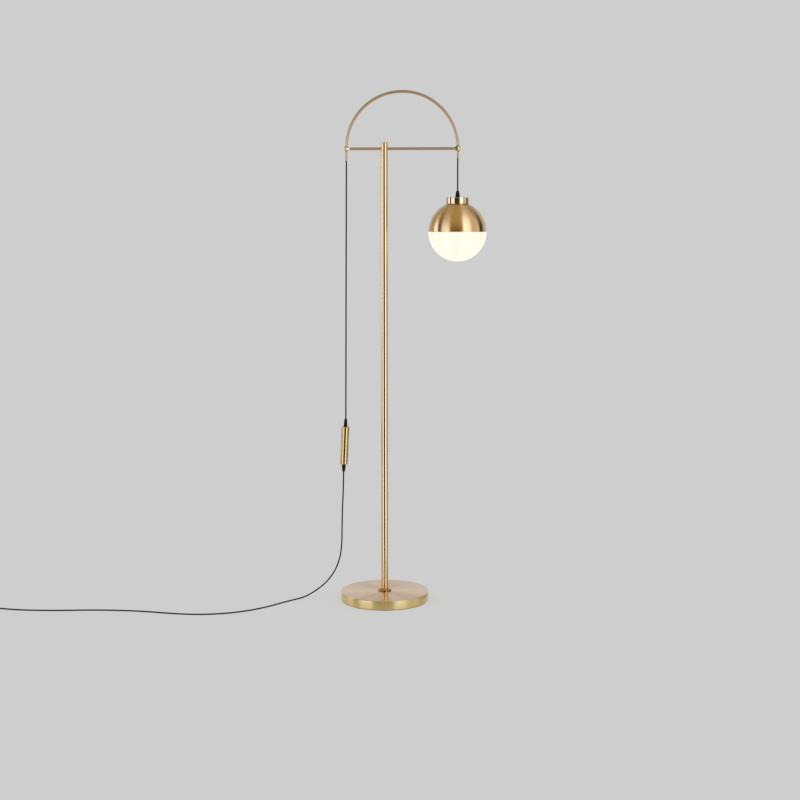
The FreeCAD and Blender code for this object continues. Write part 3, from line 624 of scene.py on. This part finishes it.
# ------------------------------------------------------------------ studio
floor_me = bpy.data.meshes.new("studio_floor")
n = 96
fv = [(0.0, 0.0, 0.0)] + [(60.0 * math.cos(2 * math.pi * k / n), 60.0 * math.sin(2 * math.pi * k / n), 0.0) for k in range(n)]
floor_me.from_pydata(fv, [], [(0, k + 1, (k + 1) % n + 1) for k in range(n)])
floor = bpy.data.objects.new("studio_floor", floor_me)
scene.collection.objects.link(floor)
GREY = 0.6172
m = bpy.data.materials.new("studio_floor_paint")
m.use_nodes = True
nt = m.node_tree
nt.nodes.clear()
out = node(nt, "ShaderNodeOutputMaterial")
add = node(nt, "ShaderNodeAddShader")
em = node(nt, "ShaderNodeEmission", Strength=1.0)
em.inputs["Color"].default_value = (0.47, 0.47, 0.47, 1)
df = node(nt, "ShaderNodeBsdfDiffuse")
df.inputs["Color"].default_value = (0.33, 0.33, 0.33, 1)
nt.links.new(em.outputs[0], add.inputs[0])
nt.links.new(df.outputs[0], add.inputs[1])
nt.links.new(add.outputs[0], out.inputs["Surface"])
floor.data.materials.append(m)


def panel(name, az0, az1, z0, z1, radius, inner, outer_, colour=(1.0, 1.0, 1.0), centre=(0.06, 0.0)):
    """Tall curved panel of even or graded light round the lamp, seen only in its reflections. Angles from -Y towards +X."""
    n = 24
    verts, faces, cols = [], [], []
    for k in range(n + 1):
        a = math.radians(az0 + (az1 - az0) * k / n)
        x, y = centre[0] + radius * math.sin(a), centre[1] - radius * math.cos(a)
        verts += [(x, y, z0), (x, y, z1)]
        s = k / n
        g = inner + (outer_ - inner) * s
        cols += [g, g]
        if k:
            i = 2 * k
            faces.append((i - 2, i, i + 1, i - 1))
    me = bpy.data.meshes.new(name)
    me.from_pydata(verts, [], faces)
    at = me.attributes.new("glow", "FLOAT", "POINT")
    at.data.foreach_set("value", np.asarray(cols, np.float32))
    ob = bpy.data.objects.new(name, me)
    scene.collection.objects.link(ob)
    m = bpy.data.materials.new(name)
    m.use_nodes = True
    nt = m.node_tree
    nt.nodes.clear()
    o = node(nt, "ShaderNodeOutputMaterial")
    e = node(nt, "ShaderNodeEmission")
    e.inputs["Color"].default_value = (*colour, 1)
    nt.links.new(node(nt, "ShaderNodeAttribute", attribute_name="glow").outputs["Fac"], e.inputs["Strength"])
    nt.links.new(e.outputs[0], o.inputs["Surface"])
    m.cycles.emission_sampling = "NONE"
    me.materials.append(m)
    ob.visible_camera = False
    ob.visible_diffuse = False
    ob.visible_shadow = False
    ob.visible_transmission = False
    return ob


COOL = (0.95, 1.08, 1.55)
WARM = (1.0, 0.75, 0.36)
LOW, HIGH = -0.01, 5.0


def flag(name, az0, az1, inner, outer_, colour=(1.0, 1.0, 1.0), z0=LOW, z1=HIGH, ground=True, near=0.45):
    """A panel standing round the lamp and, in the same directions, the light it would leave on a glossy floor."""
    panel("studio_" + name, az0, az1, z0, z1, 3.0, inner, outer_, colour)
    if ground:
        verts, faces, cols, n = [], [], [], 16
        for k in range(n + 1):
            a = math.radians(az0 + (az1 - az0) * k / n)
            for r in (near, 3.0):
                verts.append((0.06 + r * math.sin(a), -r * math.cos(a), 0.0012))
                cols.append(inner + (outer_ - inner) * k / n)
            if k:
                i = 2 * k
                faces.append((i - 2, i, i + 1, i - 1))
        me = bpy.data.meshes.new("studio_" + name + "_ground")
        me.from_pydata(verts, [], faces)
        me.attributes.new("glow", "FLOAT", "POINT").data.foreach_set("value", np.asarray(cols, np.float32))
        me.materials.append(bpy.data.materials["studio_" + name])
        ob = bpy.data.objects.new("studio_" + name + "_ground", me)
        scene.collection.objects.link(ob)
        ob.visible_camera = ob.visible_diffuse = ob.visible_shadow = ob.visible_transmission = False


flag("dark_middle", -26.0, 27.5, 0.07, 0.07, WARM, LOW, 2.1)
flag("middle_top", -26.0, 27.5, 0.60, 0.60, (1.0, 0.80, 0.45), 2.1, HIGH, ground=False)
flag("light_right", 28.0, 61.0, 2.05, 1.35, COOL)
flag("mid_right", 61.5, 86.0, 0.66, 0.66, (1.0, 1.0, 1.15))
flag("mid_right_far", 86.0, 99.0, 0.92, 0.95, (1.0, 1.0, 1.15))
flag("dark_far_right", 99.5, 123.0, 0.0, 0.0, near=0.15)
flag("light_left", -28.5, -64.0, 1.55, 1.40, COOL, LOW, 2.5)
flag("light_left_top", -28.5, -64.0, 0.55, 0.45, (1.0, 0.92, 0.70), 2.5, HIGH, ground=False)
flag("dark_left", -64.5, -84.0, 0.06, 0.08, (1.0, 0.9, 0.7))
flag("light_far_left_low", -84.5, -106.0, 1.6, 1.5, COOL, LOW, 0.75, ground=False)
flag("light_far_left", -84.5, -106.0, 2.4, 2.2, COOL, 0.75, 2.2, ground=False)
flag("far_left_top", -84.5, -145.0, 0.40, 0.40, (1.0, 0.92, 0.72), 2.2, HIGH, ground=False)
flag("far_left", -107.0, -145.0, 0.42, 0.50, (1.0, 1.0, 1.1), LOW, 2.2, ground=False)
ceiling_me = bpy.data.meshes.new("studio_ceiling")
n = 48
cv = [(0.06, 0.0, HIGH)] + [(0.06 + 3.0 * math.cos(2 * math.pi * k / n), 3.0 * math.sin(2 * math.pi * k / n), HIGH) for k in range(n)]
ceiling_me.from_pydata(cv, [], [(0, k + 1, (k + 1) % n + 1) for k in range(n)])
ceiling = bpy.data.objects.new("studio_ceiling", ceiling_me)
scene.collection.objects.link(ceiling)
m = bpy.data.materials.new("studio_ceiling")
m.use_nodes = True
nt = m.node_tree
nt.nodes.clear()
o = node(nt, "ShaderNodeOutputMaterial")
e = node(nt, "ShaderNodeEmission", Strength=0.46)
e.inputs["Color"].default_value = (1.0, 0.86, 0.60, 1.0)
nt.links.new(e.outputs[0], o.inputs["Surface"])
ceiling_me.materials.append(m)
ceiling.visible_camera = ceiling.visible_diffuse = ceiling.visible_shadow = ceiling.visible_transmission = False

world = bpy.data.worlds.new("studio_world")
scene.world = world
world.use_nodes = True
nt = world.node_tree
nt.nodes.clear()
wo = node(nt, "ShaderNodeOutputWorld")
bg = node(nt, "ShaderNodeBackground", Strength=1.0)
tc = node(nt, "ShaderNodeTexCoord")
sp = node(nt, "ShaderNodeSeparateXYZ")
nt.links.new(tc.outputs["Generated"], sp.inputs[0])
mr = node(nt, "ShaderNodeMapRange", interpolation_type="SMOOTHSTEP")
mr.inputs["From Min"].default_value, mr.inputs["From Max"].default_value = 0.35, 0.9
mr.inputs["To Min"].default_value, mr.inputs["To Max"].default_value = GREY, 0.34
nt.links.new(sp.outputs["Z"], mr.inputs["Value"])
nt.links.new(mr.outputs["Result"], bg.inputs["Color"])
nt.links.new(bg.outputs[0], wo.inputs["Surface"])

scene.view_settings.view_transform = "Standard"
scene.view_settings.look = "None"
scene.view_settings.exposure = 0.0
scene.view_settings.gamma = 1.0
